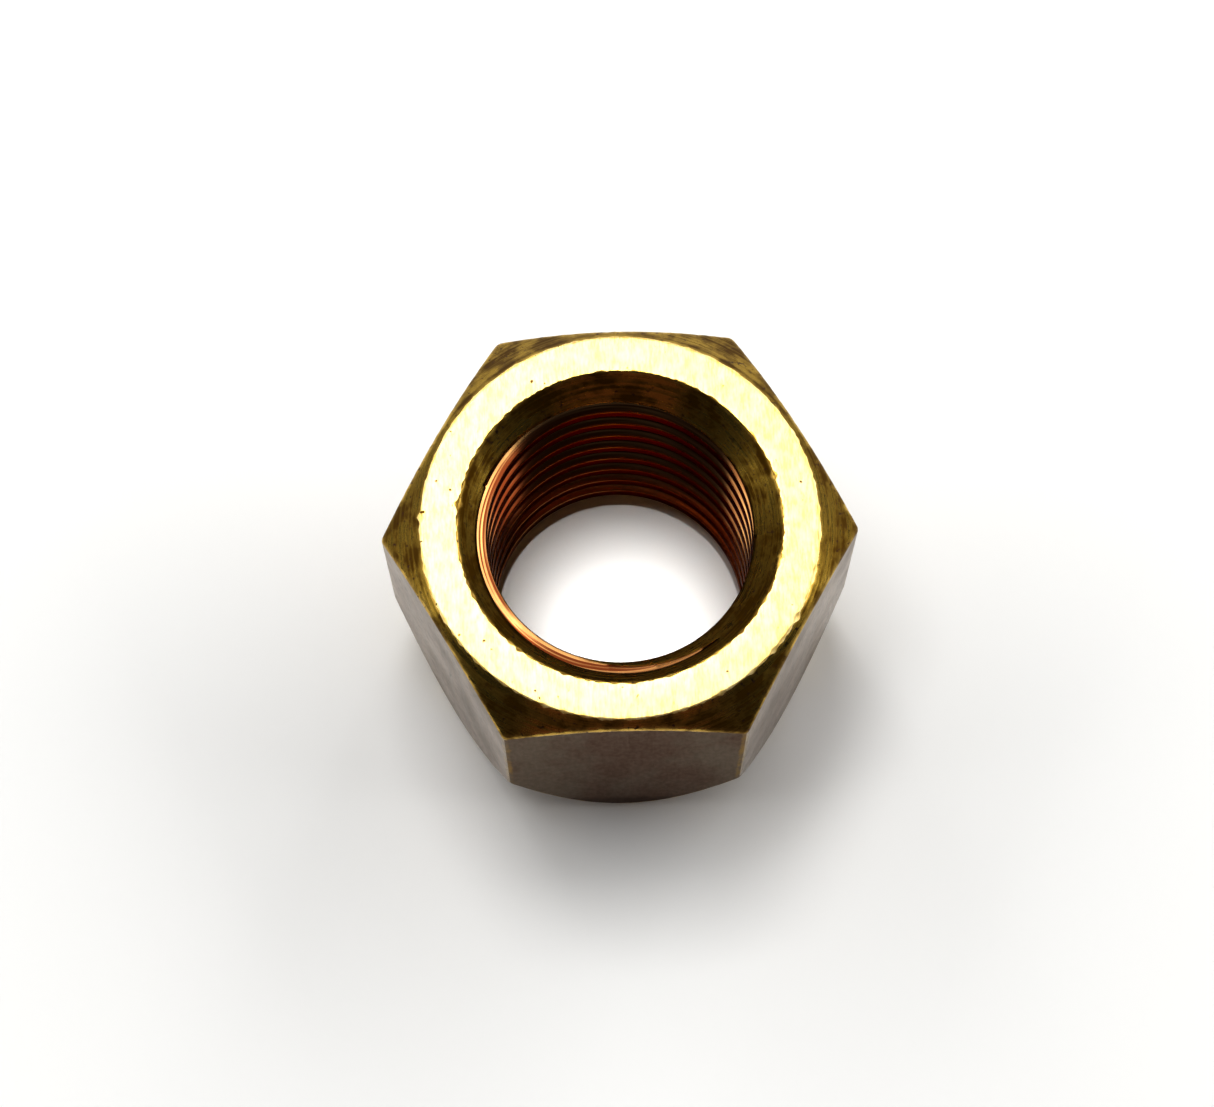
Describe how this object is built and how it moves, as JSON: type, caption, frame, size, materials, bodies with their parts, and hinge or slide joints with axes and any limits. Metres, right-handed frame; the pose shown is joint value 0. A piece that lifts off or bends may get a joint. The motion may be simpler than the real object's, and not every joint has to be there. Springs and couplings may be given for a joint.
{
  "type": "hex nut",
  "caption": "Tall brass hex nut with a through thread, a countersink at each end, a chamfered top and a tapered base.",
  "frame": {"origin": "middle of the base face, on the thread axis", "axes": "+Z along the thread axis from the base face to the top face; two corners lie on +X and -X, and two flats face +Y and -Y"},
  "size_m": [0.0162, 0.014, 0.012],
  "materials": {
    "brass": "turned bright on the end faces and chamfers, dull drawn skin on the six flats"
  },
  "bodies": {
    "root": {"hex_nut": "brass"}
  },
  "joints": []
}
